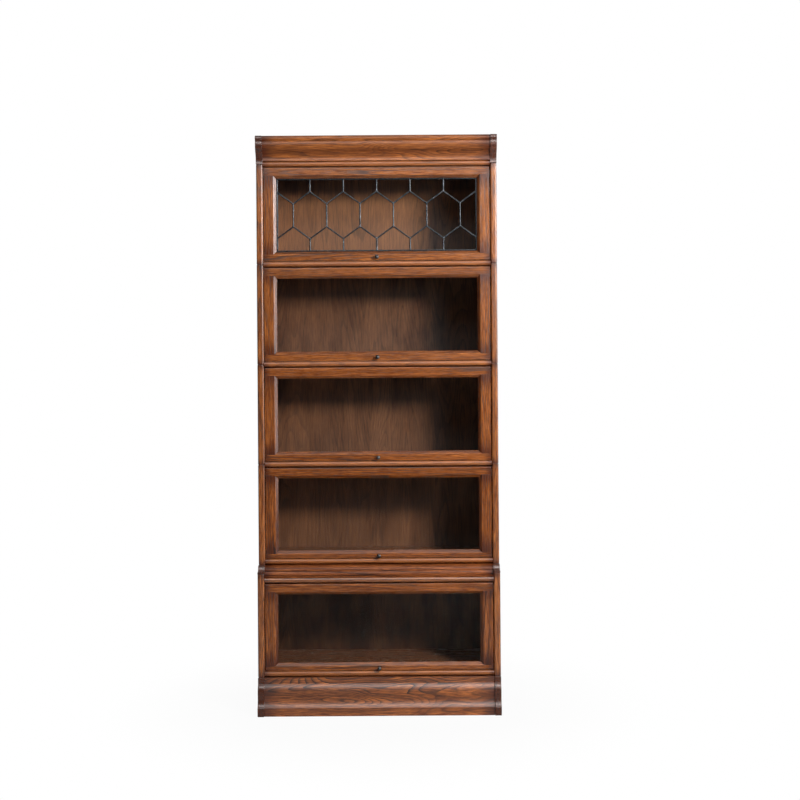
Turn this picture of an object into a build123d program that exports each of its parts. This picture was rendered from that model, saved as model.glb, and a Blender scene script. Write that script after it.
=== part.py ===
from build123d import *
from math import atan2, degrees, hypot, pi, tan
import os

os.makedirs("parts", exist_ok=True)

# Barrister bookcase: four equal glazed sections on a ledge, a deeper glazed
# section below it, an ogee base and a cornice. Sizes in millimetres, +Z up,
# front toward -Y, origin on the floor at the centre of the footprint.

# Stack
overall_width = 870
side_thickness = 24
section_depth = 330
deep_extra = 45
section_height = 362
deep_height = 369
ledge_height = 27
base_height = 134
cornice_height = 100
base_projection = 30
cornice_projection = 32
end_block_reveal = 6

# Case boards
side_round = 6.5
side_end_ease = 2
shelf_thickness = 14
bead_height = 18.5
bead_depth = 22
bead_hang = 7.5
bead_lift = 2.5
dust_panel_thickness = 6
dust_panel_gap = 0.5
back_thickness = 6
back_rabbet = 8
panel_clearance = 0.5
moulding_thickness = 16
lid_thickness = 14
tongue_length = 40
tongue_thickness = 8
tongue_depth = 12
tongue_clearance = 0.2

# Mouldings
ledge_sink = 13
ledge_foot = 4
ledge_setback = 3
ledge_swell = 5
ledge_end_foot = 8
plinth_height = 30
base_band = 22
base_reveal = 2
base_swell = 6
block_leg = 40
block_height = 80
block_floor = 27
cornice_lip = 20
cornice_roll = 6
cornice_quirk = 2
cornice_toe = 3
cornice_swell = 5

# Doors
door_thickness = 20
door_setback = 4
door_side_gap = 2.5
door_top_gap = 4
door_bottom_gap = 2
stile_flat = 35
top_rail_flat = 28.5
bottom_rail_flat = 23
low_bottom_rail_flat = 16
bevel_width = 10.5
bevel_depth = 10
door_top_round = 4
tenon_width = 16
tenon_thickness = 8
tenon_inset = 1.5
tenon_wall = 6
tenon_clearance = 0.2
glass_seat = 12
glass_rabbet = 7
glass_thickness = 3
glass_clearance = 0.5
glazing_recess = 1
lead_columns = 6
lead_point_drop = 47
lead_shoulder_drop = 91
came_face = 5.5
came_flange = 1.2
came_heart = 1.6
came_lap = 1
pane_clearance = 0.2
knob_diameter = 15
knob_reach = 22
knob_neck_radius = 3.4
knob_flange_radius = 5.6
knob_flange_height = 1.5
knob_sides = 16

# Lifting and sliding gear
pivot_drop = 18
pivot_from_back = 7
pin_radius = 3
pin_length = 12
running_clearance = 0.05
pin_end_clearance = 0.5
stop_size = 8
stop_clearance = 0.3
track_wall = 1.5
track_depth = 9.5
track_stop = 12
plate_ahead = 8
plate_above = 5.5
slide_clearance = 0.3
follower_width = 7
follower_height = 10
heel_clearance = 2

inner_width = overall_width - 2 * side_thickness
inner_half = inner_width / 2
outer_half = overall_width / 2
side_centre = inner_half + side_thickness / 2
y_back = (section_depth + deep_extra + base_projection) / 2
y_upper = y_back - section_depth
y_deep = y_upper - deep_extra
y_inside_back = y_back - back_thickness
deep_top = base_height + deep_height
ledge_top = deep_top + ledge_height
stack_top = ledge_top + 4 * section_height
total_height = stack_top + cornice_height
nosing_top = deep_top - ledge_sink

# One row for each glazed unit, from the top one down:
# name, bottom, top, front face of the sides, underside of the bead rail,
# underside of the lip over the door, flat height of the door's bottom rail.
units = []
for number in (1, 2, 3, 4):
    unit_bottom = ledge_top + (4 - number) * section_height
    unit_top = unit_bottom + section_height
    bead_bottom = unit_bottom - bead_hang
    rail_flat = bottom_rail_flat
    if number == 4:
        bead_bottom = unit_bottom + bead_lift
        rail_flat = low_bottom_rail_flat
    lip = unit_top - bead_hang
    units.append(("section_" + str(number), unit_bottom, unit_top, y_upper, bead_bottom, lip, rail_flat))
deep_bead_bottom = base_height + bead_lift
deep_lip = nosing_top - bead_height
units.append(
    ("deep_section", base_height, deep_top, y_deep, deep_bead_bottom, deep_lip, low_bottom_rail_flat)
)


def ogee(upper, lower, swell):
    """Two tangent arcs from an upper to a lower point, full above and hollow below."""
    run = lower[0] - upper[0]
    fall = lower[1] - upper[1]
    lean_y = swell * fall / hypot(run, fall)
    lean_z = -swell * run / hypot(run, fall)
    middle = (upper[0] + run / 2, upper[1] + fall / 2)
    full = (upper[0] + run / 4 + lean_y, upper[1] + fall / 4 + lean_z)
    hollow = (upper[0] + run * 3 / 4 - lean_y, upper[1] + fall * 3 / 4 - lean_z)
    ThreePointArc(upper, full, middle)
    ThreePointArc(middle, hollow, lower)


# Sides: a pair of boards for each unit, rounded along the front and eased at
# both ends, with a rabbet for the back panel, a stopped groove for the steel
# track and a blind mortise in each end for a loose tongue.
heel_radius = hypot(pivot_drop, pivot_from_back)
plate_length = plate_ahead + heel_radius + heel_clearance + follower_width + track_wall
plate_below = pivot_from_back + stop_clearance + stop_size
plate_height = plate_above + plate_below
track_height = plate_height + 2 * slide_clearance + 2 * track_wall
pivot_setback = door_setback + door_thickness - pivot_from_back
track_lead = pivot_setback - plate_ahead - track_wall
tongue_y = y_back - section_depth / 2
for name, bottom, top, front, bead_bottom, lip, rail_flat in units:
    track_middle = lip - door_top_gap - pivot_drop + (plate_above - plate_below) / 2
    track_start = front + track_lead
    track_length = y_back - track_stop - track_start
    track_y = track_start + track_length / 2
    with BuildPart() as sides:
        with BuildSketch(Plane.XY.offset(bottom)) as plan:
            with Locations((-side_centre, (front + y_back) / 2), (side_centre, (front + y_back) / 2)):
                Rectangle(side_thickness, y_back - front)
            fillet(plan.vertices().group_by(Axis.Y)[0], side_round)
        extrude(amount=top - bottom)
        end_edges = sides.edges().group_by(Axis.Z)[0] + sides.edges().group_by(Axis.Z)[-1]
        chamfer(end_edges.filter_by(lambda edge: edge.center().Y < y_back - 1), side_end_ease)
        for hand in (-1, 1):
            with Locations((hand * (inner_half + back_rabbet / 2), y_back, (bottom + top) / 2)):
                Box(back_rabbet, 2 * back_thickness, top - bottom, mode=Mode.SUBTRACT)
            with Locations((hand * (inner_half + track_depth / 2), track_y, track_middle)):
                Box(track_depth, track_length, track_height, mode=Mode.SUBTRACT)
            with Locations((hand * side_centre, tongue_y, bottom), (hand * side_centre, tongue_y, top)):
                Box(
                    tongue_thickness + 2 * tongue_clearance,
                    tongue_length + 2 * tongue_clearance,
                    2 * tongue_depth,
                    mode=Mode.SUBTRACT,
                )
    sides.part.label = name + "_sides"
    export_step(sides.part, "parts/" + name + "_sides.step")

# Shelves: the floor board of each unit, running between the sides from the
# bead rail to the back panel.
for name, bottom, top, front, bead_bottom, lip, rail_flat in units:
    shelf_front = front + bead_depth
    shelf_top = bead_bottom + bead_height
    with BuildPart() as shelf:
        with Locations((0, (shelf_front + y_inside_back) / 2, shelf_top - shelf_thickness / 2)):
            Box(inner_width, y_inside_back - shelf_front, shelf_thickness)
    shelf.part.label = name + "_shelf"
    export_step(shelf.part, "parts/" + name + "_shelf.step")

# Bead rails: half-round rails along the front of each shelf. On the three
# upper units they hang below the joint and lock into the unit underneath.
with BuildPart() as bead_rails:
    for name, bottom, top, front, bead_bottom, lip, rail_flat in units:
        bead_top = bead_bottom + bead_height
        bead_back = front + bead_depth
        nose = front + bead_height / 2
        with BuildSketch(Plane.YZ.offset(-inner_half)):
            with BuildLine():
                Polyline(
                    (nose, bead_top),
                    (bead_back, bead_top),
                    (bead_back, bead_bottom),
                    (nose, bead_bottom),
                )
                ThreePointArc((nose, bead_bottom), (front, bead_bottom + bead_height / 2), (nose, bead_top))
            make_face()
        extrude(amount=inner_width)
bead_rails.part.label = "bead_rails"
export_step(bead_rails.part, "parts/bead_rails.step")

# Dust panels: thin boards that close the top of the four upper units, just
# under the shelf of the unit above.
with BuildPart() as dust_panels:
    for name, bottom, top, front, bead_bottom, lip, rail_flat in units[:4]:
        panel_front = front + bead_depth
        panel_top = lip + bead_height - shelf_thickness - dust_panel_gap
        with Locations((0, (panel_front + y_inside_back) / 2, panel_top - dust_panel_thickness / 2)):
            Box(inner_width, y_inside_back - panel_front, dust_panel_thickness)
dust_panels.part.label = "dust_panels"
export_step(dust_panels.part, "parts/dust_panels.step")

# Back panels: veneered boards in the rabbets of each pair of sides.
with BuildPart() as back_panels:
    for name, bottom, top, front, bead_bottom, lip, rail_flat in units:
        with Locations((0, y_back - back_thickness / 2, (bottom + top) / 2)):
            Box(
                inner_width + 2 * (back_rabbet - panel_clearance),
                back_thickness,
                top - bottom - 2 * panel_clearance,
            )
back_panels.part.label = "back_panels"
export_step(back_panels.part, "parts/back_panels.step")

# Slide tracks: steel channels let in flush with the inner faces of the sides.
channel_depth = track_depth - track_wall
channel_height = track_height - 2 * track_wall
with BuildPart() as slide_tracks:
    for name, bottom, top, front, bead_bottom, lip, rail_flat in units:
        track_middle = lip - door_top_gap - pivot_drop + (plate_above - plate_below) / 2
        track_start = front + track_lead
        track_length = y_back - track_stop - track_start
        track_y = track_start + track_length / 2
        for hand in (-1, 1):
            with Locations((hand * (inner_half + track_depth / 2), track_y, track_middle)):
                Box(track_depth, track_length, track_height)
            with Locations((hand * (inner_half + channel_depth / 2), track_y, track_middle)):
                Box(channel_depth, track_length, channel_height, mode=Mode.SUBTRACT)
slide_tracks.part.label = "slide_tracks"
export_step(slide_tracks.part, "parts/slide_tracks.step")

# Deep section top: the board over the deep unit, with a half-round nosing.
nosing_bottom = nosing_top - bead_height
nosing_nose = y_deep + bead_height / 2
with BuildPart() as deep_section_top:
    with BuildSketch(Plane.YZ.offset(-inner_half)):
        with BuildLine():
            Polyline(
                (nosing_nose, nosing_top),
                (y_inside_back, nosing_top),
                (y_inside_back, nosing_bottom),
                (nosing_nose, nosing_bottom),
            )
            ThreePointArc(
                (nosing_nose, nosing_bottom),
                (y_deep, nosing_top - bead_height / 2),
                (nosing_nose, nosing_top),
            )
        make_face()
    extrude(amount=inner_width)
deep_section_top.part.label = "deep_section_top"
export_step(deep_section_top.part, "parts/deep_section_top.step")

# Ledge cove: the S-shaped moulding between the ledge ends, stepping out from
# the upper units to the deep one and resting on its top board.
cove_foot = y_deep + ledge_setback
cove_back = y_upper + moulding_thickness
with BuildPart() as ledge_cove:
    with BuildSketch(Plane.YZ.offset(-inner_half)):
        with BuildLine():
            Polyline(
                (y_upper, ledge_top),
                (cove_back, ledge_top),
                (cove_back, nosing_top),
                (cove_foot, nosing_top),
                (cove_foot, nosing_top + ledge_foot),
            )
            ogee((y_upper, ledge_top), (cove_foot, nosing_top + ledge_foot), ledge_swell)
        make_face()
    extrude(amount=inner_width)
ledge_cove.part.label = "ledge_cove"
export_step(ledge_cove.part, "parts/ledge_cove.step")

# Ledge ends: blocks between the side boards of the upper and deep units.
with BuildPart() as ledge_ends:
    for start in (-outer_half, inner_half):
        with BuildSketch(Plane.YZ.offset(start)):
            with BuildLine():
                Polyline(
                    (y_upper, ledge_top),
                    (y_back, ledge_top),
                    (y_back, deep_top),
                    (y_deep, deep_top),
                    (y_deep, deep_top + ledge_end_foot),
                )
                ogee((y_upper, ledge_top), (y_deep, deep_top + ledge_end_foot), ledge_swell)
            make_face()
        extrude(amount=side_thickness)
    for hand in (-1, 1):
        with Locations((hand * side_centre, tongue_y, deep_top), (hand * side_centre, tongue_y, ledge_top)):
            Box(
                tongue_thickness + 2 * tongue_clearance,
                tongue_length + 2 * tongue_clearance,
                2 * tongue_depth,
                mode=Mode.SUBTRACT,
            )
ledge_ends.part.label = "ledge_ends"
export_step(ledge_ends.part, "parts/ledge_ends.step")

# Ledge back rail: ties the two ledge ends together at the back.
with BuildPart() as ledge_back_rail:
    with Locations((0, y_back - moulding_thickness / 2, (deep_top + ledge_top) / 2)):
        Box(inner_width, moulding_thickness, ledge_height)
ledge_back_rail.part.label = "ledge_back_rail"
export_step(ledge_back_rail.part, "parts/ledge_back_rail.step")

# Base: an ogee front moulding, full above and hollow below over a plinth,
# held between two end boards that carry the same ogee a little further out.
band_bottom = base_height - base_band
base_inside = y_deep + moulding_thickness
with BuildPart() as base_front:
    base_face = y_deep - base_projection + end_block_reveal
    base_neck = y_deep - base_reveal
    with BuildSketch(Plane.YZ.offset(-inner_half)):
        with BuildLine():
            Polyline(
                (base_neck, band_bottom),
                (base_neck, base_height),
                (base_inside, base_height),
                (base_inside, 0),
                (base_face, 0),
                (base_face, plinth_height),
            )
            ogee((base_neck, band_bottom), (base_face, plinth_height), base_swell)
        make_face()
    extrude(amount=inner_width)
base_front.part.label = "base_front"
export_step(base_front.part, "parts/base_front.step")

with BuildPart() as base_ends:
    end_face = y_deep - base_projection
    end_neck = y_deep - base_reveal - end_block_reveal / 2
    for start in (-outer_half, inner_half):
        with BuildSketch(Plane.YZ.offset(start)):
            with BuildLine():
                Polyline(
                    (end_neck, band_bottom),
                    (end_neck, base_height),
                    (y_back, base_height),
                    (y_back, 0),
                    (end_face, 0),
                    (end_face, plinth_height),
                )
                ogee((end_neck, band_bottom), (end_face, plinth_height), base_swell)
            make_face()
        extrude(amount=side_thickness)
    with Locations((-side_centre, tongue_y, base_height), (side_centre, tongue_y, base_height)):
        Box(
            tongue_thickness + 2 * tongue_clearance,
            tongue_length + 2 * tongue_clearance,
            2 * tongue_depth,
            mode=Mode.SUBTRACT,
        )
base_ends.part.label = "base_ends"
export_step(base_ends.part, "parts/base_ends.step")

# Base back rail and the glue blocks in the four corners of the base.
with BuildPart() as base_back_rail:
    with Locations((0, y_back - moulding_thickness / 2, base_height / 2)):
        Box(inner_width, moulding_thickness, base_height)
base_back_rail.part.label = "base_back_rail"
export_step(base_back_rail.part, "parts/base_back_rail.step")

with BuildPart() as base_glue_blocks:
    for hand in (-1, 1):
        for corner, lean in ((base_inside, 1), (y_back - moulding_thickness, -1)):
            with BuildSketch(Plane.XY.offset(block_floor)):
                with BuildLine():
                    Polyline(
                        (hand * inner_half, corner),
                        (hand * (inner_half - block_leg), corner),
                        (hand * inner_half, corner + lean * block_leg),
                        close=True,
                    )
                make_face()
            extrude(amount=block_height)
base_glue_blocks.part.label = "base_glue_blocks"
export_step(base_glue_blocks.part, "parts/base_glue_blocks.step")

# Cornice: a rolled lip over an S-shaped front moulding between two end blocks,
# a lid, a back rail, and a half-round lip rail that drops into the top unit.
lip_bottom = total_height - cornice_lip
quirk_bottom = lip_bottom - cornice_quirk
cornice_front_bottom = stack_top - bead_hang + bead_height
lid_front = y_upper + moulding_thickness
with BuildPart() as cornice_front:
    cornice_face = y_upper - cornice_projection + end_block_reveal
    roll_back = cornice_face + cornice_roll
    cornice_neck = y_upper - cornice_quirk / 2
    with BuildSketch(Plane.YZ.offset(-inner_half)):
        with BuildLine():
            Polyline(
                (cornice_neck, cornice_front_bottom + cornice_toe),
                (cornice_neck, cornice_front_bottom),
                (lid_front, cornice_front_bottom),
                (lid_front, total_height),
                (roll_back, total_height),
            )
            ThreePointArc(
                (roll_back, total_height),
                (cornice_face, total_height - cornice_lip / 2),
                (roll_back, lip_bottom),
            )
            Polyline(
                (roll_back, lip_bottom),
                (roll_back, quirk_bottom),
                (roll_back - cornice_quirk, quirk_bottom),
            )
            ogee(
                (roll_back - cornice_quirk, quirk_bottom),
                (cornice_neck, cornice_front_bottom + cornice_toe),
                cornice_swell,
            )
        make_face()
    extrude(amount=inner_width)
cornice_front.part.label = "cornice_front"
export_step(cornice_front.part, "parts/cornice_front.step")

with BuildPart() as cornice_ends:
    block_face = y_upper - cornice_projection
    block_roll = block_face + cornice_roll
    block_neck = y_upper - end_block_reveal / 2
    for start in (-outer_half, inner_half):
        with BuildSketch(Plane.YZ.offset(start)):
            with BuildLine():
                Polyline(
                    (block_neck, stack_top + cornice_toe),
                    (block_neck, stack_top),
                    (y_back, stack_top),
                    (y_back, total_height),
                    (block_roll, total_height),
                )
                ThreePointArc(
                    (block_roll, total_height),
                    (block_face, total_height - cornice_lip / 2),
                    (block_roll, lip_bottom),
                )
                Polyline(
                    (block_roll, lip_bottom),
                    (block_roll, quirk_bottom),
                    (block_roll - cornice_quirk, quirk_bottom),
                )
                ogee(
                    (block_roll - cornice_quirk, quirk_bottom),
                    (block_neck, stack_top + cornice_toe),
                    cornice_swell,
                )
            make_face()
        extrude(amount=side_thickness)
    with Locations((-side_centre, tongue_y, stack_top), (side_centre, tongue_y, stack_top)):
        Box(
            tongue_thickness + 2 * tongue_clearance,
            tongue_length + 2 * tongue_clearance,
            2 * tongue_depth,
            mode=Mode.SUBTRACT,
        )
cornice_ends.part.label = "cornice_ends"
export_step(cornice_ends.part, "parts/cornice_ends.step")

with BuildPart() as cornice_lid:
    with Locations((0, (lid_front + y_back) / 2, total_height - lid_thickness / 2)):
        Box(inner_width, y_back - lid_front, lid_thickness)
cornice_lid.part.label = "cornice_lid"
export_step(cornice_lid.part, "parts/cornice_lid.step")

with BuildPart() as cornice_back_rail:
    with Locations((0, y_back - moulding_thickness / 2, (stack_top + total_height - lid_thickness) / 2)):
        Box(inner_width, moulding_thickness, cornice_height - lid_thickness)
cornice_back_rail.part.label = "cornice_back_rail"
export_step(cornice_back_rail.part, "parts/cornice_back_rail.step")

with BuildPart() as cornice_bead_rail:
    hang_bottom = stack_top - bead_hang
    hang_nose = y_upper + bead_height / 2
    with BuildSketch(Plane.YZ.offset(-inner_half)):
        with BuildLine():
            Polyline(
                (hang_nose, hang_bottom + bead_height),
                (y_upper + bead_depth, hang_bottom + bead_height),
                (y_upper + bead_depth, hang_bottom),
                (hang_nose, hang_bottom),
            )
            ThreePointArc(
                (hang_nose, hang_bottom),
                (y_upper, hang_bottom + bead_height / 2),
                (hang_nose, hang_bottom + bead_height),
            )
        make_face()
    extrude(amount=inner_width)
cornice_bead_rail.part.label = "cornice_bead_rail"
export_step(cornice_bead_rail.part, "parts/cornice_bead_rail.step")

# Locating tongues: loose hardwood keys, one in each side of every joint of
# the stack.
with BuildPart() as locating_tongues:
    joint_heights = [base_height, deep_top, ledge_top]
    for step in (1, 2, 3, 4):
        joint_heights.append(ledge_top + step * section_height)
    for height in joint_heights:
        with Locations((-side_centre, tongue_y, height), (side_centre, tongue_y, height)):
            Box(tongue_thickness, tongue_length, 2 * tongue_depth)
locating_tongues.part.label = "locating_tongues"
export_step(locating_tongues.part, "parts/locating_tongues.step")

# Doors: rails run the full width and stiles fit between them on stub tenons.
# The inner front edge is bevelled and the bevels meet in mitres. Each door has
# a rear rabbet for the glass, held by four thin glazing beads.
door_half = inner_half - door_side_gap
sight_half = door_half - stile_flat - bevel_width
tenon_centre = door_half - stile_flat + tenon_inset + tenon_width / 2
rabbet_half = sight_half + glass_rabbet
pin_reach = door_side_gap + pin_length
bore_depth = pin_length + pin_end_clearance
plate_thickness = channel_depth - slide_clearance
for door_number, (name, bottom, top, front, bead_bottom, lip, rail_flat) in enumerate(units, start=1):
    label = "door_" + str(door_number)
    door_top = lip - door_top_gap
    door_bottom = bead_bottom + bead_height + door_bottom_gap
    door_front = front + door_setback
    door_back = door_front + door_thickness
    pivot_y = door_back - pivot_from_back
    pivot_z = door_top - pivot_drop
    top_flat_line = door_top - top_rail_flat
    bottom_flat_line = door_bottom + rail_flat
    sight_top = top_flat_line - bevel_width
    sight_bottom = bottom_flat_line + bevel_width
    sight_height = sight_top - sight_bottom
    sight_middle = (sight_top + sight_bottom) / 2
    rabbet_height = sight_height + 2 * glass_rabbet
    tenon_y = door_front + door_thickness / 2
    top_tenon = top_rail_flat - tenon_wall
    bottom_tenon = rail_flat - tenon_wall
    seat_y = door_front + glass_seat
    leaded = door_number == 1
    pane_stack = glass_thickness
    if leaded:
        pane_stack = glass_thickness + 2 * came_flange

    with BuildPart() as rails:
        with BuildSketch(Plane.XZ.offset(-door_back)):
            for edge_z, flat_z, sight_z in (
                (door_top, top_flat_line, sight_top),
                (door_bottom, bottom_flat_line, sight_bottom),
            ):
                with BuildLine():
                    Polyline(
                        (-door_half, edge_z),
                        (door_half, edge_z),
                        (door_half, flat_z),
                        (door_half - stile_flat, flat_z),
                        (sight_half, sight_z),
                        (-sight_half, sight_z),
                        (-door_half + stile_flat, flat_z),
                        (-door_half, flat_z),
                        close=True,
                    )
                make_face()
        extrude(amount=door_thickness)
        top_edges = rails.edges().filter_by(Axis.X).group_by(Axis.Z)[-1]
        fillet(top_edges.sort_by(Axis.Y)[0], door_top_round)
        with BuildSketch(Plane.YZ.offset(-door_half)):
            for flat_z, sight_z in ((top_flat_line, sight_top), (bottom_flat_line, sight_bottom)):
                with BuildLine():
                    Polyline(
                        (door_front, flat_z),
                        (door_front, sight_z),
                        (door_front + bevel_depth, sight_z),
                        close=True,
                    )
                make_face()
        extrude(amount=2 * door_half, mode=Mode.SUBTRACT)
        with Locations((0, (seat_y + door_back) / 2, sight_middle)):
            Box(2 * rabbet_half, door_back - seat_y, rabbet_height, mode=Mode.SUBTRACT)
        for hand in (-1, 1):
            for flat_z, tenon_length in ((top_flat_line, top_tenon), (bottom_flat_line, bottom_tenon)):
                with Locations((hand * tenon_centre, tenon_y, flat_z)):
                    Box(
                        tenon_width + 2 * tenon_clearance,
                        tenon_thickness + 2 * tenon_clearance,
                        2 * (tenon_length + tenon_clearance),
                        mode=Mode.SUBTRACT,
                    )
            with Locations(Location((hand * door_half, pivot_y, pivot_z), (0, 90, 0))):
                Cylinder(pin_radius + running_clearance, 2 * bore_depth, mode=Mode.SUBTRACT)
    rails.part.label = label + "_rails"
    export_step(rails.part, "parts/" + label + "_rails.step")

    with BuildPart() as stiles:
        for hand in (-1, 1):
            with BuildSketch(Plane.XZ.offset(-door_back)):
                with BuildLine():
                    Polyline(
                        (hand * door_half, bottom_flat_line),
                        (hand * door_half, top_flat_line),
                        (hand * (door_half - stile_flat), top_flat_line),
                        (hand * sight_half, sight_top),
                        (hand * sight_half, sight_bottom),
                        (hand * (door_half - stile_flat), bottom_flat_line),
                        close=True,
                    )
                make_face()
            extrude(amount=door_thickness)
        for hand in (-1, 1):
            with BuildSketch(Plane.XY.offset(bottom_flat_line)):
                with BuildLine():
                    Polyline(
                        (hand * (door_half - stile_flat), door_front),
                        (hand * sight_half, door_front),
                        (hand * sight_half, door_front + bevel_depth),
                        close=True,
                    )
                make_face()
            extrude(amount=top_flat_line - bottom_flat_line, mode=Mode.SUBTRACT)
        with Locations((0, (seat_y + door_back) / 2, sight_middle)):
            Box(2 * rabbet_half, door_back - seat_y, rabbet_height, mode=Mode.SUBTRACT)
        for hand in (-1, 1):
            with Locations((hand * tenon_centre, tenon_y, top_flat_line + top_tenon / 2)):
                Box(tenon_width, tenon_thickness, top_tenon)
            with Locations((hand * tenon_centre, tenon_y, bottom_flat_line - bottom_tenon / 2)):
                Box(tenon_width, tenon_thickness, bottom_tenon)
    stiles.part.label = label + "_stiles"
    export_step(stiles.part, "parts/" + label + "_stiles.step")

    # The leading of the top door: lines of a row of whole hexagons with half
    # ones at the ends, short uprights above and below, and a border came. The
    # came is an H section, two face flanges on a thin heart, and each pane
    # sits between the flanges.
    if leaded:
        lead_lines = []
        pitch = 2 * sight_half / lead_columns
        high_point = sight_top - lead_point_drop
        high_shoulder = sight_top - lead_shoulder_drop
        low_shoulder = sight_bottom + lead_shoulder_drop
        low_point = sight_bottom + lead_point_drop
        for step in range(1, lead_columns):
            point_x = step * pitch - sight_half
            lead_lines.append(((point_x, sight_top), (point_x, high_point)))
            lead_lines.append(((point_x, low_point), (point_x, sight_bottom)))
        for step in range(lead_columns):
            shoulder_x = (step + 0.5) * pitch - sight_half
            lead_lines.append(((shoulder_x, high_shoulder), (shoulder_x, low_shoulder)))
            for reach in (-pitch / 2, pitch / 2):
                lead_lines.append(((shoulder_x, high_shoulder), (shoulder_x + reach, high_point)))
                lead_lines.append(((shoulder_x, low_shoulder), (shoulder_x + reach, low_point)))

        border_out = glass_rabbet - glass_clearance
        heart_y = seat_y + came_flange + glass_thickness
        with BuildPart() as came:
            for layer_y, layer_depth, line_width, inward in (
                (seat_y + came_flange, came_flange, came_face, came_face),
                (heart_y, glass_thickness, came_heart, -came_lap),
                (heart_y + came_flange, came_flange, came_face, came_face),
            ):
                with BuildSketch(Plane.XZ.offset(-layer_y)):
                    with Locations((0, sight_middle)):
                        Rectangle(2 * (sight_half + border_out), sight_height + 2 * border_out)
                        Rectangle(2 * (sight_half - inward), sight_height - 2 * inward, mode=Mode.SUBTRACT)
                    for (ax, az), (bx, bz) in lead_lines:
                        line_length = hypot(bx - ax, bz - az) + line_width / 2
                        line_angle = degrees(atan2(bz - az, bx - ax))
                        with Locations(((ax + bx) / 2, (az + bz) / 2)):
                            Rectangle(line_length, line_width, rotation=line_angle)
                extrude(amount=layer_depth)
        came.part.label = label + "_came"
        export_step(came.part, "parts/" + label + "_came.step")

        pane_margin = came_lap - pane_clearance
        with BuildPart() as glass:
            with BuildSketch(Plane.XZ.offset(-heart_y)):
                with Locations((0, sight_middle)):
                    Rectangle(2 * (sight_half + pane_margin), sight_height + 2 * pane_margin)
                for (ax, az), (bx, bz) in lead_lines:
                    line_length = hypot(bx - ax, bz - az) + came_heart + 2 * pane_clearance
                    line_angle = degrees(atan2(bz - az, bx - ax))
                    with Locations(((ax + bx) / 2, (az + bz) / 2)):
                        Rectangle(
                            line_length,
                            came_heart + 2 * pane_clearance,
                            rotation=line_angle,
                            mode=Mode.SUBTRACT,
                        )
            extrude(amount=glass_thickness)
    else:
        with BuildPart() as glass:
            with Locations((0, seat_y + glass_thickness / 2, sight_middle)):
                Box(
                    2 * (rabbet_half - glass_clearance),
                    glass_thickness,
                    rabbet_height - 2 * glass_clearance,
                )
    glass.part.label = label + "_glass"
    export_step(glass.part, "parts/" + label + "_glass.step")

    strip_depth = door_back - seat_y - pane_stack - glazing_recess
    strip_y = seat_y + pane_stack + strip_depth / 2
    with BuildPart() as glazing_beads:
        for hand in (-1, 1):
            with Locations((0, strip_y, sight_middle + hand * (sight_height + glass_rabbet) / 2)):
                Box(2 * rabbet_half, strip_depth, glass_rabbet)
            with Locations((hand * (sight_half + glass_rabbet / 2), strip_y, sight_middle)):
                Box(glass_rabbet, strip_depth, sight_height - 2 * pane_clearance)
    glazing_beads.part.label = label + "_glazing_beads"
    export_step(glazing_beads.part, "parts/" + label + "_glazing_beads.step")

    # A turned ball knob on a small flange, at the middle of the bottom rail.
    # The ball is a prism of equal sides with both its ends cut back at 45
    # degrees, so that it measures the same across every pair of its flats.
    knob_z = door_bottom + rail_flat / 2
    ball_back = knob_reach - knob_diameter
    ball_cut = knob_diameter / 2 * (1 - tan(pi / 8))
    with BuildPart() as knob:
        with BuildSketch(Plane.XZ.offset(ball_back - door_front)):
            with Locations((0, knob_z)):
                RegularPolygon(knob_diameter / 2, knob_sides)
        extrude(amount=knob_diameter)
        chamfer(knob.faces().filter_by(Axis.Y).edges(), length=ball_cut)
        with BuildSketch(Plane.XZ.offset(-door_front)):
            with Locations((0, knob_z)):
                RegularPolygon(knob_neck_radius, knob_sides)
        extrude(amount=ball_back + knob_neck_radius)
        with BuildSketch(Plane.XZ.offset(-door_front)):
            with Locations((0, knob_z)):
                RegularPolygon(knob_flange_radius, knob_sides)
        extrude(amount=knob_flange_height)
    knob.part.label = label + "_knob"
    export_step(knob.part, "parts/" + label + "_knob.step")

    # Carriage: a welded steel yoke. Its end plates run in the tracks, a bar
    # behind the swing of the door keeps them square, pins carry the door and
    # square stops meet its back face at both ends of its swing.
    plate_y = pivot_y - plate_ahead + plate_length / 2
    plate_z = pivot_z + (plate_above - plate_below) / 2
    bar_y = pivot_y + heel_radius + heel_clearance + follower_width / 2
    stop_offset = pivot_from_back + stop_clearance + stop_size / 2
    inward_x = inner_half - pin_reach / 2 + track_wall / 2
    inward_length = pin_reach + track_wall
    with BuildPart() as carriage:
        with Locations((0, bar_y, pivot_z - pivot_from_back)):
            Box(inner_width + 2 * track_wall, follower_width, follower_height)
        for hand in (-1, 1):
            with Locations((hand * (inner_half + plate_thickness / 2), plate_y, plate_z)):
                Box(plate_thickness, plate_length, plate_height)
            with Locations(Location((hand * inward_x, pivot_y, pivot_z), (0, 90, 0))):
                Cylinder(pin_radius, inward_length)
            with Locations((hand * inward_x, pivot_y + stop_offset, pivot_z - stop_offset)):
                Box(inward_length, stop_size, stop_size)
    carriage.part.label = "carriage_" + str(door_number)
    export_step(carriage.part, "parts/carriage_" + str(door_number) + ".step")
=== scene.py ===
from math import atan2, pi, radians

import bmesh
import bpy
from mathutils import Matrix, Vector


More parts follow.
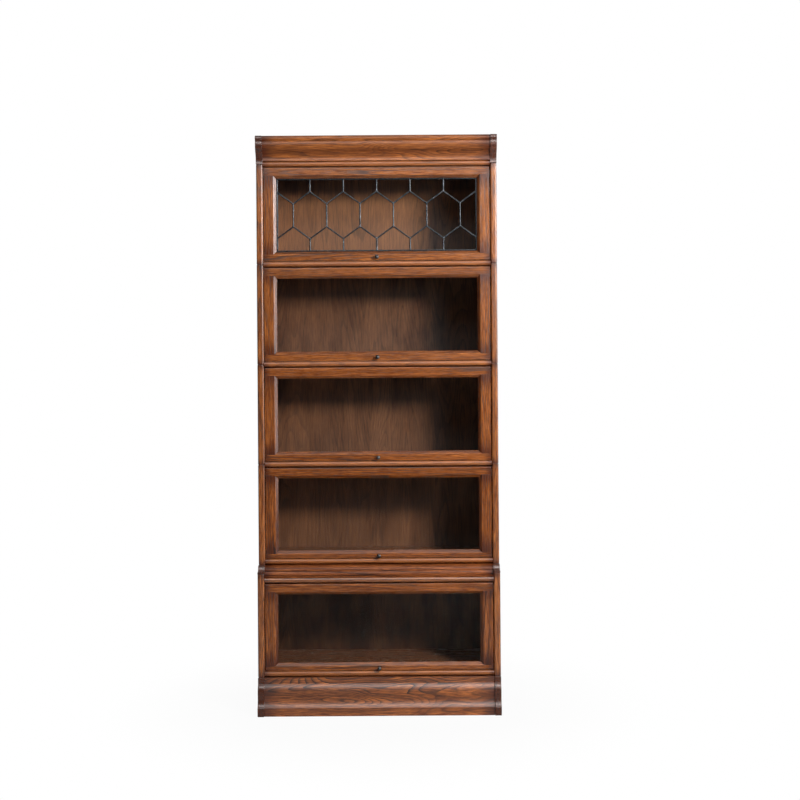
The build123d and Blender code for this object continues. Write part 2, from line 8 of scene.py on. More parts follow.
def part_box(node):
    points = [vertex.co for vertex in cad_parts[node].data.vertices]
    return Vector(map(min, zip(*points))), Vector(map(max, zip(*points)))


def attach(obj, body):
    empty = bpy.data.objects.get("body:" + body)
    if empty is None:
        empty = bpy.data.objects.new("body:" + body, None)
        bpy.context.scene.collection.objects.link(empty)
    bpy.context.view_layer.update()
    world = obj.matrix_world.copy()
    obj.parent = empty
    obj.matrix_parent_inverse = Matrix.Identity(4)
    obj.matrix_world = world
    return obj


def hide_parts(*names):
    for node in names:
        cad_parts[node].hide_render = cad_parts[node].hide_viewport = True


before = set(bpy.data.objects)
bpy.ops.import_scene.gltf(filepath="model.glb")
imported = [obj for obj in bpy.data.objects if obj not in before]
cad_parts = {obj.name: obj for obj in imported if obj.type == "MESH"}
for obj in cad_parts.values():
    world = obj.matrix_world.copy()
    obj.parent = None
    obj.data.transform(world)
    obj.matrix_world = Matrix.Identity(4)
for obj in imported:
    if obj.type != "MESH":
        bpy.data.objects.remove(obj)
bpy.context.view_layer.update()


# Base front: one ogee board, full above and hollow below over a plain plinth.
# Oak, run through a moulding cutter, stained amber brown with a darker glaze
# toward its ends, lacquered, and glued between the two end boards.
inner_half = 0.411
fine_ease = 0.0008
curve_steps = 18
crisp_angle = radians(32)


class Finish:
    """A value, colour or shader on its way through a material's nodes."""

    def __init__(self, tree, socket=None):
        self.tree = tree
        self.socket = socket

    def make(self, kind, settings=None, sockets=None, out=0):
        """Adds one node: its settings first, then the values or links of its sockets."""
        node = self.tree.nodes.new("ShaderNode" + kind)
        for name, value in (settings or {}).items():
            if name == "stops":
                ramp = node.color_ramp.elements
                ramp.remove(ramp[1])
                ramp[0].position = value[0][0]
                ramp[0].color = 3 * (value[0][1],) + (1,)
                for place, level in value[1:]:
                    ramp.new(place).color = 3 * (level,) + (1,)
            else:
                setattr(node, name, value)
        for name, value in (sockets or {}).items():
            if isinstance(value, Finish):
                self.tree.links.new(value.socket, node.inputs[name])
            else:
                node.inputs[name].default_value = value
        return Finish(self.tree, node.outputs[out] if node.outputs else None)

    def out(self, name):
        return Finish(self.tree, self.socket.node.outputs[name])

    def math(self, operation, first, second=0.0):
        return self.make("Math", {"operation": operation}, {0: first, 1: second})

    def __add__(self, other):
        return self.math("ADD", self, other)

    def __sub__(self, other):
        return self.math("SUBTRACT", self, other)

    def __rsub__(self, other):
        return self.math("SUBTRACT", other, self)

    def __mul__(self, other):
        return self.math("MULTIPLY", self, other)

    def __abs__(self):
        return self.math("ABSOLUTE", self)

    __radd__ = __add__
    __rmul__ = __mul__

    def most(self, other):
        return self.math("MAXIMUM", self, other)

    def tween(self, low, high):
        """Rises smoothly from 0 to 1 between two values."""
        return self.make(
            "MapRange",
            {"interpolation_type": "SMOOTHSTEP"},
            {"Value": self, "From Min": low, "From Max": high},
        )

    def blend(self, amount, first, second, how="MIX"):
        """Lays a second colour over a first, in a Mix node's sockets 6 and 7, for its output 2."""
        settings = {"data_type": "RGBA", "blend_type": how}
        return self.make("Mix", settings, {0: amount, 6: first, 7: second}, 2)


def blank(owner):
    """Empties the nodes of a material or a world, ready for its own."""
    owner.use_nodes = True
    owner.node_tree.nodes.clear()
    return Finish(owner.node_tree)


def shade(red, green, blue):
    """A colour as a swatch would name it, in steps of 0 to 255."""
    steps = [step / 255 for step in (red, green, blue)]
    return tuple(s / 12.92 if s < 0.04045 else ((s + 0.055) / 1.055) ** 2.4 for s in steps) + (1,)


deep_fibre = shade(120, 60, 24)
pale_fibre = shade(208, 126, 63)
streak_brown = shade(98, 47, 20)
band_brown = shade(98, 49, 22)
ring_brown = shade(56, 28, 15)
pore_brown = shade(44, 23, 13)
dry_grey = shade(148, 130, 112)
ring_stops = [(0.0, 0.9), (0.06, 1.0), (0.2, 0.55), (0.45, 0.14), (0.8, 0.0), (0.96, 0.08), (1.0, 0.9)]
band_stops = [(0.0, 0.0), (0.35, 0.3), (0.6, 1.0), (0.8, 0.4), (1.0, 0.0)]


def oak(
    name, along, shift, stretch, rings, stain=None, glaze_and_shade=None, contrast=1.0,
    coat=0.1, rough=0.22, shine=0.5, faded=0.0, glaze_and_shade_tone=(140, 108, 98),
):
    """Stained oak whose grain runs along one axis: growth rings, fibre, pores, and glazing that may also
    carry painted shade.
    """
    material = bpy.data.materials.new(name)
    start = blank(material)
    at = start.make("TexCoord", out="Object")

    def noise(length, scale, detail, harsh=0.5, twist=0.0):
        """Noise drawn out along the grain, by a length below 1."""
        size = [1.0, 1.0, 1.0]
        size[along] = length
        laid = start.make("Mapping", {}, {"Vector": at, "Location": shift, "Scale": size})
        sockets = {"Vector": laid, "Scale": scale, "Detail": detail}
        return start.make("TexNoise", {}, {**sockets, "Roughness": harsh, "Distortion": twist})

    flow = noise(stretch, 6.5, 2.0, 0.42, 0.3) * rings + noise(0.07, 75, 3.0, 0.6) * 0.5
    ring = start.make("ValToRGB", {"stops": ring_stops}, {"Fac": start.math("FRACT", flow)})
    early = ring * noise(0.2, 9, 1.0).tween(0.15, 0.6)
    band = start.make("ValToRGB", {"stops": band_stops}, {"Fac": start.math("FRACT", flow * 0.27)})
    fibre = noise(0.05, 340, 3.0, 0.72).tween(0.36, 0.64)
    streak = noise(0.05, 85, 2.0).tween(0.4, 0.68)
    pore = noise(0.05, 620, 1.0).tween(0.52, 0.66) * (0.35 + 0.65 * early)
    wood = start.blend(0.5 + (fibre - 0.5) * contrast, deep_fibre, pale_fibre)
    wood = start.blend(streak * 0.34 * contrast, wood, streak_brown)
    wood = start.blend(band * 0.3 * contrast, wood, band_brown)
    wood = start.blend(early * 0.88 * contrast, wood, ring_brown)
    wood = start.blend(pore * 0.75 * contrast, wood, pore_brown)
    if stain:
        wood = start.blend(1.0, wood, shade(*stain), "MULTIPLY")
    if faded:
        wood = start.blend(faded, wood, dry_grey)
    matt = rough + 0.1 * early + 0.16 * pore
    # The mask darkens the wood: real glaze toward ends and joints, and, where a piece asks for it, painted
    # shade in recesses and inside the case.
    if glaze_and_shade:
        place = start.make("SeparateXYZ", {}, {"Vector": at})
        worn = noise(0.5, 26, 3.0).tween(0.2, 0.8)
        dark = glaze_and_shade(place.out("X"), place.out("Y"), place.out("Z")) * (0.72 + 0.28 * worn)
        wood = start.blend(dark, wood, shade(*glaze_and_shade_tone), "MULTIPLY")
        matt = matt + 0.06 * dark
    depth = 1 - (0.55 * pore + 0.3 * early)
    surface = start.make(
        "BsdfPrincipled",
        {},
        {
            "Base Color": wood,
            "Roughness": matt,
            "Normal": start.make("Bump", {}, {"Strength": 0.4, "Distance": 0.0006, "Height": depth}),
            "Specular IOR Level": shine,
            "Coat Weight": coat,
            "Coat Roughness": rough,
        },
    )
    start.make("OutputMaterial", {}, {"Surface": surface})
    return material


def ends(reach, half=inner_half):
    """Glaze that gathers toward both ends of a board that runs across the front."""
    return lambda x, y, z: abs(x).tween(half - reach, half)


def bent(mesh, last, end, swell):
    """A line of short edges on from the last point, bulging forward or, below zero, hollow."""
    end = Vector(end)
    chord = end - last.co
    side = Vector((0, -chord.z, chord.y)).normalized()
    if side.y > 0:
        side = -side
    reach = (chord.length_squared / 4 + swell * swell) / (2 * swell)
    centre = (last.co + end) / 2 + side * (swell - reach)
    arm = last.co - centre
    crown = (last.co + end) / 2 + side * swell - centre
    turn = 2 * atan2(arm.cross(crown).x, arm.dot(crown))
    spun = bmesh.ops.spin(mesh, geom=[last], cent=centre, axis=(1, 0, 0), angle=turn, steps=curve_steps)
    return [v for v in spun["geom_last"] if isinstance(v, bmesh.types.BMVert)][0]


def moulding(mesh, outline, left, right):
    """A run of moulding. Each row of its outline is depth, height, and the swell of the line there."""
    outset = len(mesh.verts)
    last = mesh.verts.new((left, outline[0][0], outline[0][1]))
    for depth, height, swell in outline[1:]:
        if swell:
            last = bent(mesh, last, (left, depth, height), swell)
        else:
            ahead = mesh.verts.new((left, depth, height))
            mesh.edges.new((last, ahead))
            last = ahead
    mesh.verts.ensure_lookup_table()
    rim = list(mesh.verts)[outset:]
    bmesh.ops.remove_doubles(mesh, verts=rim, dist=1e-5)
    rim = [v for v in rim if v.is_valid]
    edges = list(dict.fromkeys(e for v in rim for e in v.link_edges))
    face = bmesh.ops.contextual_create(mesh, geom=edges)["faces"]
    grown = bmesh.ops.extrude_face_region(mesh, geom=face)["geom"]
    moved = [v for v in grown if isinstance(v, bmesh.types.BMVert)]
    bmesh.ops.translate(mesh, verts=moved, vec=(right - left, 0, 0))
    bmesh.ops.recalc_face_normals(mesh, faces=mesh.faces)


def eased(mesh, ease, sides=2):
    """Takes the sharp arrises off, as a few strokes of fine paper do."""
    sharp = [e for e in mesh.edges if e.is_manifold and e.is_convex and e.calc_face_angle(0) > crisp_angle]
    bmesh.ops.bevel(
        mesh, geom=sharp, offset=ease, segments=sides, profile=0.5,
        affect="EDGES", clamp_overlap=True, material=-1,
    )
    bmesh.ops.dissolve_degenerate(mesh, dist=1e-6, edges=mesh.edges)


def piece(name, mesh, material, body, slot, *nodes):
    """Makes an object of the mesh, with smooth curves and flat flats, that rides on a body."""
    data = bpy.data.meshes.new(name)
    mesh.to_mesh(data)
    mesh.free()
    data.materials.append(material)
    data.shade_smooth()
    data.set_sharp_from_angle(angle=crisp_angle)
    made = bpy.data.objects.new(name, data)
    bpy.context.scene.collection.objects.link(made)
    made.modifiers.new("even_flats", "WEIGHTED_NORMAL").keep_sharp = True
    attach(made, body)
    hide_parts(*nodes)


def front_run(name, outline, material, node, ease=fine_ease):
    """One moulding along the front, from end to end of the case."""
    run = bmesh.new()
    moulding(run, outline, -inner_half, inner_half)
    if ease:
        eased(run, ease)
    piece(name, run, material, "case", "oak", node)


base_outline = [
    (-0.1745, 0.112, 0), (-0.1745, 0.134, 0), (-0.1565, 0.134, 0), (-0.1565, 0, 0),
    (-0.1965, 0, 0), (-0.1965, 0.030, 0), (-0.1855, 0.071, -0.006), (-0.1745, 0.112, 0.006),
]
base_oak = oak(
    "oak_base_front", 0, (0.3, 1.7, 0.2), 0.2, 62, stain=(255, 246, 234), glaze_and_shade=ends(0.07),
    contrast=1.3, coat=1.0, rough=0.4, shine=0.35,
)
front_run("base_moulding", base_outline, base_oak, "base_front")


# Base ends: two boards on edge that carry the ogee of the front a little
# further out. Oak, end grain to the front, which takes the stain almost
# black brown. Screwed and glued to the front board from behind.
outer_half = 0.435
end_oak = oak("oak_end_blocks", 1, (2.1, 0.4, 3.3), 0.1, 60, stain=(146, 124, 122), coat=0.5, rough=0.26)


def end_pair(name, outline, node, ease):
    """The left and right ends of a moulding, of one outline, with well rounded arrises."""
    pair = bmesh.new()
    moulding(pair, outline, -outer_half, -inner_half)
    moulding(pair, outline, inner_half, outer_half)
    eased(pair, ease, 3)
    piece(name, pair, end_oak, "case", "oak", node)


base_end_outline = [
    (-0.1775, 0.112, 0), (-0.1775, 0.134, 0), (0.2025, 0.134, 0), (0.2025, 0, 0),
    (-0.2025, 0, 0), (-0.2025, 0.030, 0), (-0.190, 0.071, -0.006), (-0.1775, 0.112, 0.006),
]
end_pair("base_end_boards", base_end_outline, "base_ends", 0.002)


# Back rails and glue blocks: sawn oak, planed and stained but left out of the
# glaze. The rails are let in between the ends of the base, the ledge and the
# cornice, and the blocks are rubbed into the base's corners with hot glue.
def copied(node):
    """A CAD node's shape as whole flat faces, ready to be eased."""
    mesh = bmesh.new()
    mesh.from_mesh(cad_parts[node].data)
    bmesh.ops.remove_doubles(mesh, verts=mesh.verts, dist=2e-6)
    bmesh.ops.dissolve_limit(mesh, angle_limit=radians(0.5), verts=mesh.verts, edges=mesh.edges)
    return mesh


def planed(name, node, material, ease=fine_ease, sides=2, body="case"):
    """A board of the CAD node's own shape, with its arrises eased."""
    board = copied(node)
    eased(board, ease, sides)
    piece(name, board, material, body, "oak", node)


plain_oak = oak("oak_hidden_rails", 0, (5.3, 2.2, 0.9), 0.08, 60, stain=(226, 216, 206))
for node in ("base_back_rail", "base_glue_blocks", "ledge_back_rail", "cornice_back_rail"):
    planed(node + "_planed", node, plain_oak)


# Sides: solid oak boards on end, a pair to each unit, with the front edge
# rounded over and the shelf housed between them. The glaze is left darker at
# both ends, where the units meet.
units = ("section_1", "section_2", "section_3", "section_4", "deep_section")


def board_ends(low, high, reach):
    """Glaze that gathers toward the top and bottom of an upright board."""
    middle = (low + high) / 2
    half = (high - low) / 2
    return lambda x, y, z: abs(z - middle).tween(half - reach, half)


for number, unit in enumerate(units):
    low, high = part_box(unit + "_sides")
    grain = oak(
        "oak_sides_" + unit, 2, (0.7 * number, 1.3, 0.8), 0.05, 60,
        glaze_and_shade=board_ends(low.z, high.z, 0.03), coat=0.6, rough=0.25,
    )
    piece(unit + "_side_boards", copied(unit + "_sides"), grain, "case", "oak", unit + "_sides")


# Shelves and the deep unit's top board: oak boards with the grain across the
# case, housed in the sides. The shelves are dry and a little faded. The top
# board is lacquered, and its front edge is a half-round nosing.
shelf_oak = oak("oak_shelves", 0, (1.2, 4.4, 0.3), 0.05, 60, stain=(214, 206, 200), faded=0.2)
for unit in units:
    planed(unit + "_shelf_board", unit + "_shelf", shelf_oak)
bead_radius = 0.00925


def half_round(front, low, depth):
    """The outline of a board whose front edge is a half round, as thick as the board."""
    nose = front + bead_radius
    back = front + depth
    top = low + 2 * bead_radius
    return [(nose, top, 0), (back, top, 0), (back, low, 0), (nose, low, 0), (nose, top, bead_radius)]


nosing_oak = oak("oak_nosing", 0, (0.4, 2.9, 1.1), 0.034, 56, glaze_and_shade=ends(0.03), coat=1.0, rough=0.34)
top_outline = half_round(-0.1725, 0.4715, 0.369)
front_run("deep_top_board", top_outline, nosing_oak, "deep_section_top", ease=0)


# Bead rails: half-round oak rails glued along the front of each shelf, and one
# under the cornice. They hang over the joint and lock each unit to the one
# below.
bead_depth = 0.022
bead_places = (
    (-0.1275, 1.6085), (-0.1275, 1.2465), (-0.1275, 0.8845), (-0.1275, 0.5325), (-0.1725, 0.1365),
)
bead_oak = oak(
    "oak_bead_rails", 0, (0.4, 2.9, 1.1), 0.034, 56, glaze_and_shade=ends(0.03),
    contrast=0.5, coat=0.2, rough=0.34,
)
beads = bmesh.new()
for front, low in bead_places:
    moulding(beads, half_round(front, low, bead_depth), -inner_half, inner_half)
piece("shelf_bead_rails", beads, bead_oak, "case", "oak", "bead_rails")
lip_outline = half_round(-0.1275, 1.9705, bead_depth)
front_run("cornice_lip_rail", lip_outline, bead_oak, "cornice_bead_rail", ease=0)


# Dust and back panels: thin oak-faced boards, let into rabbets and pinned.
# Stained by hand and not lacquered, so cloudier and drier than the front. On
# the inside, painted shade darkens them unit by unit, most in the deep unit and
# least in the top one, with a painted shadow along the top of the top unit.
panel_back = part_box("back_panels")[1].y
deep_unit_top = (0.5, 0.53)
second_unit_floor = (1.24, 1.27)
first_unit_floor = (1.6, 1.63)
# Where the painted shadow along the top of the top unit begins.
first_unit_shade = (1.895, 1.93)


def panel_cloud_and_shade(x, y, z):
    """How dark a back panel is: one cloudy tone all over, and painted shade inside, unit by unit."""
    inside = 1 - y.tween(panel_back - 0.002, panel_back - 0.0005)
    drawn = x.make("CombineXYZ", {}, {"X": x, "Y": y, "Z": z * 0.2})
    cloud = x.make("TexNoise", {}, {"Vector": drawn, "Scale": 13.0, "Detail": 3.0}).tween(0.3, 0.7)
    # Painted shade on the inner faces: set unit by unit, with a painted shadow at the top of the top unit.
    units_painted_shade = 0.1 * z.tween(*second_unit_floor) - 0.36 * z.tween(*deep_unit_top)
    first_unit_painted_shade = 0.8 * z.tween(*first_unit_shade) - 0.74 * z.tween(*first_unit_floor)
    return 0.12 + 0.36 * cloud + inside * (0.7 + units_painted_shade + first_unit_painted_shade)


def dress(material, *nodes):
    """Gives a material to CAD nodes that keep their own shape."""
    for node in nodes:
        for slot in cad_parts[node].material_slots:
            slot.material = material


panel_oak = oak(
    "oak_back_panels", 2, (3.1, 0.2, 2.4), 0.12, 34, stain=(230, 240, 244), glaze_and_shade=panel_cloud_and_shade,
    contrast=0.5, coat=0.0, rough=0.5, shine=0.3, faded=0.25, glaze_and_shade_tone=(124, 112, 106),
)
dress(panel_oak, "back_panels")
dust_oak = oak(
    "oak_dust_panels", 0, (3.1, 0.2, 2.4), 0.1, 34, stain=(200, 200, 200),
    contrast=0.45, coat=0.0, rough=0.5, shine=0.3, faded=0.3,
)
dress(dust_oak, "dust_panels")


# Ledge: an S-shaped oak moulding that steps the case out to its deep unit,
# glued between two dark end blocks.
block_ease = 0.0015
ledge_outline = [
    (-0.1275, 0.530, 0), (-0.1115, 0.530, 0), (-0.1115, 0.490, 0), (-0.1695, 0.490, 0),
    (-0.1695, 0.494, 0), (-0.1485, 0.512, -0.005), (-0.1275, 0.530, 0.005),
]
ledge_end_outline = [
    (-0.1275, 0.530, 0), (0.2025, 0.530, 0), (0.2025, 0.503, 0), (-0.1725, 0.503, 0),
    (-0.1725, 0.511, 0), (-0.150, 0.5205, -0.005), (-0.1275, 0.530, 0.005),
]
ledge_oak = oak(
    "oak_ledge", 0, (2.4, 0.8, 0.6), 0.045, 50, stain=(232, 218, 208), glaze_and_shade=ends(0.05),
    coat=0.0, rough=0.3, shine=0.2,
)
front_run("ledge_moulding", ledge_outline, ledge_oak, "ledge_cove")
end_pair("ledge_end_blocks", ledge_end_outline, "ledge_ends", block_ease)


# Cornice: a rolled lip over an S-shaped front moulding of stained oak, glued
# between two dark end blocks, with a flat, unlacquered lid let in behind them.
cornice_outline = [
    (-0.1285, 1.992, 0), (-0.1285, 1.989, 0), (-0.1115, 1.989, 0), (-0.1115, 2.078, 0),
    (-0.1475, 2.078, 0), (-0.1475, 2.058, 0.006), (-0.1475, 2.056, 0), (-0.1495, 2.056, 0),
    (-0.139, 2.024, 0.005), (-0.1285, 1.992, -0.005),
]
cornice_end_outline = [
    (-0.1305, 1.981, 0), (-0.1305, 1.978, 0), (0.2025, 1.978, 0), (0.2025, 2.078, 0),
    (-0.1535, 2.078, 0), (-0.1535, 2.058, 0.006), (-0.1535, 2.056, 0), (-0.1555, 2.056, 0),
    (-0.143, 2.0185, 0.005), (-0.1305, 1.981, -0.005),
]
hollow_height = 2.021


def cornice_glaze_and_shade(x, y, z):
    """Glaze that gathers toward the ends, and painted shade along the hollow in the middle of the
    moulding.
    """
    # Painted shade: a dark band along the middle of the S-curve, where it faces most downward.
    hollow = 1 - abs(z - hollow_height).tween(0.004, 0.02)
    return ends(0.081)(x, y, z).most(0.52 * hollow)


cornice_oak = oak(
    "oak_cornice", 0, (4.1, 0.5, 1.9), 0.15, 64, stain=(255, 252, 240), glaze_and_shade=cornice_glaze_and_shade,
    contrast=0.75, coat=0.0, rough=0.3, shine=0.3,
)
front_run("cornice_moulding", cornice_outline, cornice_oak, "cornice_front")
end_pair("cornice_end_blocks", cornice_end_outline, "cornice_ends", block_ease)
lid_oak = oak(
    "oak_lid", 0, (1.2, 4.4, 0.3), 0.05, 60, stain=(214, 206, 200),
    coat=0.0, rough=0.6, shine=0.15, faded=0.2,
)
planed("cornice_lid_board", "cornice_lid", lid_oak)


# Locating tongues: loose keys of sawn oak in the joints of the stack. They keep
# each unit in line with the one below, and don't show when it is put together.
dress(plain_oak, "locating_tongues")


# Slide tracks and carriages: folded and welded steel, zinc plated, a little
# dulled and rubbed by the doors' travel. The tracks are let into the sides,
# and a carriage runs in each pair.
def metal(name, colour, worn, rough, scale=260.0):
    """A metal with a fine mottle and rubbed patches."""
    material = bpy.data.materials.new(name)
    start = blank(material)
    at = start.make("TexCoord", out="Object")
    mottle = start.make("TexNoise", {}, {"Vector": at, "Scale": scale, "Detail": 3.0, "Roughness": 0.6})
    rub = start.make("TexNoise", {}, {"Vector": at, "Scale": scale / 7, "Detail": 2.0}).tween(0.4, 0.72)
    surface = start.make(
        "BsdfPrincipled",
        {},
        {
            "Base Color": start.blend(rub * 0.7 + 0.3 * mottle, shade(*colour), shade(*worn)),
            "Metallic": 1.0,
            "Roughness": rough + 0.14 * mottle - 0.08 * rub,
            "Normal": start.make("Bump", {}, {"Strength": 0.12, "Distance": 0.0003, "Height": mottle}),
        },
    )
    start.make("OutputMaterial", {}, {"Surface": surface})
    return material


door_numbers = range(1, 6)
zinc = metal("zinc_plated_steel", (128, 128, 126), (168, 167, 163), 0.36)
dress(zinc, "slide_tracks", *[f"carriage_{number}" for number in door_numbers])


# Doors: oak rails that run the full width, with stiles tenoned between them
# and a mitred bevel round the glass. The glaze is darkest where they meet,
# and painted shade darkens the bevel. Plain strips pinned inside hold the glass.
door_half = 0.4085
tenon = 0.02
door_ease = 0.001
strip_ease = 0.0004
door_stains = ((255, 255, 255), (255, 252, 246), (250, 244, 238), (236, 226, 214), (240, 232, 220))


def ends_glaze_and_bevel_shade(spread, face, hold):
    """Glaze toward a door frame's ends, and painted shade down the bevel behind its face."""
    # What lies behind the face, the bevel, takes painted shade by the amount hold.
    return lambda x, y, z: spread(x, y, z).most(y.tween(face + 0.001, face + 0.004) * hold)


for number, stain in zip(door_numbers, door_stains):
    door = f"door_{number}"
    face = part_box(door + "_rails")[0].y
    grain = oak(
        "oak_rails_" + door, 0, (1.9 * number, 3.7, 0.5), 0.034, 62, stain=stain,
        glaze_and_shade=ends_glaze_and_bevel_shade(ends(0.03, door_half), face, 0.4),
    )
    planed(door + "_finished_rails", door + "_rails", grain, door_ease, 3, door)
    low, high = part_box(door + "_stiles")
    grain = oak(
        "oak_stiles_" + door, 2, (2.3, 1.55 * number, 1.4), 0.034, 62, stain=stain,
        glaze_and_shade=ends_glaze_and_bevel_shade(board_ends(low.z + tenon, high.z - tenon, 0.07), low.y, 0.8),
    )
    planed(door + "_finished_stiles", door + "_stiles", grain, door_ease, 3, door)
    planed(door + "_glazing_strips", door + "_glazing_beads", plain_oak, strip_ease, 2, door)


# Glass: clear sheet, a little uneven and hazy, bedded behind the bevel of each
# door. It mirrors faintly, and more at a slant.
clear_glass = bpy.data.materials.new("clear_glass")
start = blank(clear_glass)
at = start.make("TexCoord", out="Object")
ripple = start.make("TexNoise", {}, {"Vector": at, "Scale": 9.0, "Detail": 1.0})
haze = start.make("TexNoise", {}, {"Vector": at, "Scale": 14.0, "Detail": 4.0}).tween(0.45, 0.8)
mirror = start.make("Fresnel", {}, {"IOR": 1.45})
surface = start.make(
    "BsdfPrincipled",
    {},
    {
        "Base Color": shade(222, 240, 233),
        "Metallic": 1.0,
        "Roughness": 0.03 + 0.05 * haze,
        "Normal": start.make("Bump", {}, {"Strength": 0.05, "Distance": 0.002, "Height": ripple}),
        "Alpha": mirror * 0.2 + 0.004 * haze,
    },
)
start.make("OutputMaterial", {}, {"Surface": surface})
dress(clear_glass, *[f"door_{number}_glass" for number in door_numbers])


# Lead came of the top door: soft lead strips of H section with rounded faces,
# bent round nineteen panes and soldered where they meet.
lead = metal("lead_came", (50, 53, 56), (78, 82, 86), 0.22, 420.0)
sight_half = 0.363
sight_low = 1.6625
sight_high = 1.9275
pitch = sight_half / 3
point_drop = 0.047
shoulder_drop = 0.091
came_middle = -0.1088
came_depth = 0.0054
came_width = 0.0055
came_round = 0.0022
border_width = 0.012
border_set = 0.0005
corner_lap = 0.003
solder_size = (0.0036, 0.0009, 0.0036, 1)
solder_sink = 0.0006
strips = bmesh.new()


def strip(x, z, far_x, far_z, width=came_width):
    """One straight strip of came between two points of the pattern."""
    line = Vector((far_x - x, 0, far_z - z))
    turn = Matrix.Rotation(-atan2(line.z, line.x), 4, "Y")
    middle = Matrix.Translation(((x + far_x) / 2, came_middle, (z + far_z) / 2))
    size = Matrix.Diagonal((line.length + width / 2, came_depth, width, 1))
    bmesh.ops.create_cube(strips, size=1, matrix=middle @ turn @ size)


high_point = sight_high - point_drop
high_shoulder = sight_high - shoulder_drop
low_point = sight_low + point_drop
low_shoulder = sight_low + shoulder_drop
joints = []
for step in range(6):
    middle_x = (step + 0.5) * pitch - sight_half
    strip(middle_x, high_shoulder, middle_x, low_shoulder)
    for reach in (-pitch / 2, pitch / 2):
        strip(middle_x, high_shoulder, middle_x + reach, high_point)
        strip(middle_x, low_shoulder, middle_x + reach, low_point)
    joints += [(middle_x, high_shoulder), (middle_x, low_shoulder)]
    if step:
        point_x = step * pitch - sight_half
        strip(point_x, sight_high, point_x, high_point)
        strip(point_x, low_point, point_x, sight_low)
        joints += [(point_x, high_point), (point_x, low_point)]
sight_middle = (sight_high + sight_low) / 2
sight_rise = (sight_high - sight_low) / 2
for hand in (-1, 1):
    edge_x = hand * (sight_half + border_set)
    edge_z = sight_middle + hand * (sight_rise + border_set)
    strip(edge_x, sight_low - corner_lap, edge_x, sight_high + corner_lap, border_width)
    strip(-sight_half - corner_lap, edge_z, sight_half + corner_lap, edge_z, border_width)
lengthwise = [e for e in strips.edges if e.calc_length() > border_width * 1.5]
bmesh.ops.bevel(
    strips, geom=lengthwise, offset=came_round, segments=4, profile=0.5,
    affect="EDGES", clamp_overlap=True, material=-1,
)
for x, z in joints:
    for side in (-1, 1):
        place = Matrix.Translation((x, came_middle + side * (came_depth / 2 - solder_sink), z))
        flat = Matrix.Diagonal(solder_size)
        bmesh.ops.create_uvsphere(strips, u_segments=14, v_segments=8, radius=1, matrix=place @ flat)
piece("door_1_lead_came", strips, lead, "door_1", "lead_came", "door_1_came")


# Knobs: bronze balls turned in one with a neck and a small flange, blackened
# and waxed, screwed on from behind the bottom rail.
black_bronze = metal("black_bronze", (66, 67, 70), (104, 103, 102), 0.26, 300.0)
knob_radius = 0.0075
flange_and_neck = ((0, 0.0056), (0.0011, 0.0056), (0.0016, 0.0051), (0.003, 0.0035), (0.0079, 0.0032))
for number in door_numbers:
    door = f"door_{number}"
    low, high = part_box(door + "_knob")
    heart = (low.z + high.z) / 2
    turned = bmesh.new()
    last = turned.verts.new((0, high.y, heart))
    for depth, radius in flange_and_neck:
        ahead = turned.verts.new((0, high.y - depth, heart + radius))
        turned.edges.new((last, ahead))
        last = ahead
    middle = Vector((0, low.y + knob_radius, heart))
    arm = last.co - middle
    arm *= knob_radius / arm.length
    ahead = turned.verts.new(middle + arm)
    turned.edges.new((last, ahead))
    swing = pi - atan2(arm.z, arm.y)
    bmesh.ops.spin(turned, geom=[ahead], cent=middle, axis=(1, 0, 0), angle=swing, steps=20)
    bmesh.ops.spin(
        turned, geom=turned.verts[:] + turned.edges[:], cent=(0, 0, heart), axis=(0, 1, 0),
        angle=2 * pi, steps=40, use_merge=True,
    )
    bmesh.ops.remove_doubles(turned, verts=turned.verts, dist=1e-6)
    bmesh.ops.recalc_face_normals(turned, faces=turned.faces)
    piece(door + "_turned_knob", turned, black_bronze, door, "dark_bronze", door + "_knob")


# Studio: white all round, with a dim room to mirror in front, and a pale floor
# that keeps the shadow. A key lamp in front to the right and a fill behind give
# the light, and soft panels in front, above and to the right only the sheen.
scene = bpy.context.scene
scene.view_settings.view_transform = "Standard"
world = bpy.data.worlds.new("studio")
scene.world = world
start = blank(world)
camera_ray = start.make("LightPath", out="Is Camera Ray")
mirrored = camera_ray.out("Is Glossy Ray").most(camera_ray.out("Is Transmission Ray"))
ray = start.make("SeparateXYZ", {}, {"Vector": start.make("TexCoord", out="Generated")})
behind = ray.out("Y").tween(0.1, 0.5)
level = 0.15 * (1 - mirrored) + mirrored * (0.04 + 0.96 * behind)
level = camera_ray + (1 - camera_ray) * level
sky = start.make("Background", {}, {"Color": (1, 1, 1, 1), "Strength": level})
start.make("OutputWorld", {}, {"Surface": sky})

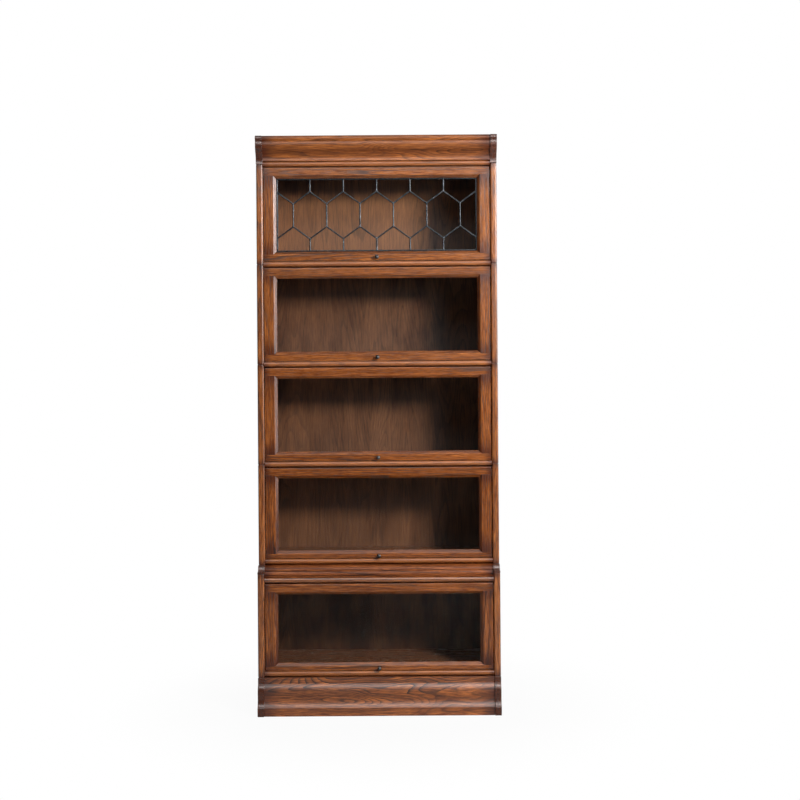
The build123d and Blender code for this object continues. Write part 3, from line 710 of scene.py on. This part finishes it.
ground = bmesh.new()
bmesh.ops.create_circle(ground, cap_ends=True, segments=96, radius=9)
floor_mesh = bpy.data.meshes.new("floor")
ground.to_mesh(floor_mesh)
ground.free()
floor = bpy.data.objects.new("floor", floor_mesh)
scene.collection.objects.link(floor)
paper = bpy.data.materials.new("pale_floor")
start = blank(paper)
camera_ray = start.make("LightPath", out="Is Camera Ray")
seen = camera_ray.most(camera_ray.out("Is Transmission Ray"))
spot = start.make("TexCoord", out="Object")
away = start.make("VectorMath", {"operation": "LENGTH"}, {0: spot}, "Value").tween(0.35, 1.1)
lit = start.make("BsdfDiffuse", {}, {"Color": (0.55, 0.55, 0.55, 1)})
white = start.make("Emission", {}, {"Color": (1, 1, 1, 1), "Strength": 1.0})
surface = start.make("MixShader", {}, {0: seen * (0.95 + 0.05 * away), 1: lit, 2: white})
start.make("OutputMaterial", {}, {"Surface": surface})
floor_mesh.materials.append(paper)


def lamp(name, place, aim, size, power, wash=True, sheen=True):
    """A soft panel of light, which may give only its wash or only its sheen."""
    data = bpy.data.lights.new(name, "AREA")
    data.shape = "RECTANGLE"
    data.size = size[0]
    data.size_y = size[1]
    data.energy = power
    made = bpy.data.objects.new(name, data)
    made.location = place
    made.rotation_euler = (Vector(aim) - Vector(place)).to_track_quat("-Z", "Y").to_euler()
    made.visible_diffuse = wash
    made.visible_glossy = sheen
    scene.collection.objects.link(made)


key_place = (1.9, -2.6, 2.2)
key_aim = (0, -0.15, 0.9)
lamp("key", key_place, key_aim, (0.65, 0.5), 112, sheen=False)
lamp("key_panel", key_place, key_aim, (1.8, 1.4), 112, wash=False)
lamp("high_panel", (0.3, -2.4, 3.0), (0, -0.15, 0.6), (3.2, 0.7), 60, wash=False)
lamp("top_panel", (0, -1.0, 3.6), (0, -0.15, 1.0), (1.8, 0.8), 12, wash=False)
lamp("right_panel", (2.3, -0.45, 2.25), (0, -0.1, 2.05), (0.6, 0.7), 30, wash=False)
lamp("right_low_panel", (2.3, -0.45, 1.2), (0, -0.1, 1.2), (0.6, 1.3), 16, wash=False)
lamp("back_fill", (-1.4, 3.2, 1.9), (0, 0.2, 1.0), (1.6, 1.6), 45, sheen=False)

camera = bpy.data.cameras.new("camera")
camera.lens = 60.8
camera.sensor_width = 36
camera.shift_y = -0.0511
viewer = bpy.data.objects.new("camera", camera)
viewer.location = (0.0812, -5.010, 1.271)
viewer.rotation_euler = (pi / 2, 0.0071, 0)
scene.collection.objects.link(viewer)
scene.camera = viewer
